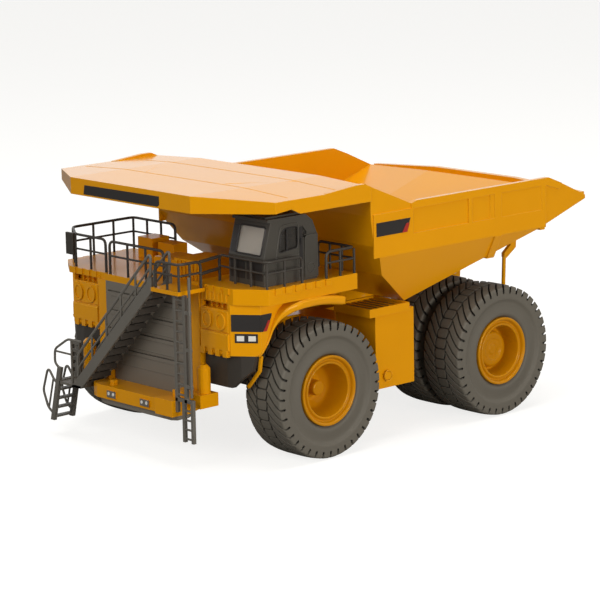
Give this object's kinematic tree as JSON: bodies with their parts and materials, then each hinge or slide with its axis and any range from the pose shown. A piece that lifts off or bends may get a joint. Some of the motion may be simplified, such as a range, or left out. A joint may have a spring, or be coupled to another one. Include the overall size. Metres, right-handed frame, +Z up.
{
  "type": "die-cast scale model of a mining dump truck",
  "caption": "Scale model of a rigid mining dump truck: hollow raising load bed with canopy, cab on a railed deck, front stairway, lugged tyres on turning wheels.",
  "frame": {"origin": "middle of the overall box, on the surface that the tyres stand on", "axes": "the front of the truck faces -Y, the cab is on the truck's left at +X, +Z is up"},
  "size_m": [0.078, 0.1191, 0.063],
  "materials": {
    "construction_yellow": "satin enamel over die-cast metal",
    "yellow_plastic": "satin moulded yellow plastic",
    "dark_plastic": "semi-matt dark warm grey plastic",
    "grille_grey": "semi-matt warm grey plastic",
    "tyre_rubber": "matt dark grey rubber",
    "steel": "plain steel pin",
    "window_glass": "clear smoky window"
  },
  "bodies": {
    "chassis": {"frame": "construction_yellow", "rear_axle_housing": "construction_yellow", "screw_bosses": "dark_plastic", "front_axle": "dark_plastic", "rear_axle": "steel", "bumper": "yellow_plastic", "front_struts": "yellow_plastic", "fender_left": "yellow_plastic", "fender_right": "yellow_plastic", "left_deck": "yellow_plastic", "right_deck": "yellow_plastic", "centre_deck": "yellow_plastic", "tank_left": "yellow_plastic", "tank_right": "yellow_plastic", "radiator_grille": "grille_grey", "cab_shell": "dark_plastic", "cab_seat": "dark_plastic", "stairway": "dark_plastic", "front_ladder": "dark_plastic", "access_ladder": "dark_plastic", "cab_railing": "dark_plastic", "right_railing": "dark_plastic", "centre_railing": "dark_plastic", "hinge_pins": "steel", "deck_cabinets": "yellow_plastic", "cab_windows": "window_glass", "cab_console": "dark_plastic", "stair_platform": "yellow_plastic", "mirror": "dark_plastic", "splash_guards": "dark_plastic", "bumper_guard": "grille_grey"},
    "bed": {"bed_shell": "construction_yellow", "bed_canopy": "construction_yellow", "bed_brackets": "construction_yellow", "rock_ejectors": "construction_yellow"},
    "hoist_barrel_left": {"hoist_barrel_left": "steel"},
    "hoist_rod_left": {"hoist_rod_left": "steel"},
    "front_left_wheel": {"tyre_front_left": "tyre_rubber", "rim_front_left": "yellow_plastic"},
    "rear_left_wheel": {"tyre_rear_left_outer": "tyre_rubber", "tyre_rear_left_inner": "tyre_rubber", "rim_rear_left": "yellow_plastic"},
    "hoist_barrel_right": {"hoist_barrel_right": "steel"},
    "hoist_rod_right": {"hoist_rod_right": "steel"},
    "front_right_wheel": {"tyre_front_right": "tyre_rubber", "rim_front_right": "yellow_plastic"},
    "rear_right_wheel": {"tyre_rear_right_outer": "tyre_rubber", "tyre_rear_right_inner": "tyre_rubber", "rim_rear_right": "yellow_plastic"}
  },
  "joints": [
    {"name": "front_left_wheel_spin", "type": "hinge", "parent": "chassis", "child": "front_left_wheel", "pos_m": [0.0322, -0.02855, 0.0161], "axis": [1, 0, 0], "continuous": true},
    {"name": "rear_left_wheel_spin", "type": "hinge", "parent": "chassis", "child": "rear_left_wheel", "pos_m": [0.0322, 0.02905, 0.0161], "axis": [1, 0, 0], "continuous": true},
    {"name": "front_right_wheel_spin", "type": "hinge", "parent": "chassis", "child": "front_right_wheel", "pos_m": [-0.0322, -0.02855, 0.0161], "axis": [1, 0, 0], "continuous": true},
    {"name": "rear_right_wheel_spin", "type": "hinge", "parent": "chassis", "child": "rear_right_wheel", "pos_m": [-0.0322, 0.02905, 0.0161], "axis": [1, 0, 0], "continuous": true},
    {"name": "bed_raise", "type": "hinge", "parent": "chassis", "child": "bed", "pos_m": [0, 0.04145, 0.031], "axis": [-1, 0, 0], "range_deg": [0, 45]},
    {"name": "hoist_swing_left", "type": "hinge", "parent": "chassis", "child": "hoist_barrel_left", "pos_m": [0.0093, 0.00945, 0.012], "axis": [-1, 0, 0], "range_deg": [0, 3.82]},
    {"name": "hoist_extend_left", "type": "slide", "parent": "hoist_barrel_left", "child": "hoist_rod_left", "axis": [0, 0.4687, 0.8833], "range_m": [0, 0.01502]},
    {"name": "hoist_swing_right", "type": "hinge", "parent": "chassis", "child": "hoist_barrel_right", "pos_m": [-0.0093, 0.00945, 0.012], "axis": [-1, 0, 0], "range_deg": [0, 3.82]},
    {"name": "hoist_extend_right", "type": "slide", "parent": "hoist_barrel_right", "child": "hoist_rod_right", "axis": [0, 0.4687, 0.8833], "range_m": [0, 0.01502]}
  ],
  "couplings": [
    {"joint": "hoist_swing_left", "follows": "bed_raise", "ratio": 0.08381},
    {"joint": "hoist_extend_left", "follows": "bed_raise", "m_per_rad": 0.019059},
    {"joint": "hoist_swing_right", "follows": "bed_raise", "ratio": 0.08381},
    {"joint": "hoist_extend_right", "follows": "bed_raise", "m_per_rad": 0.019059}
  ]
}
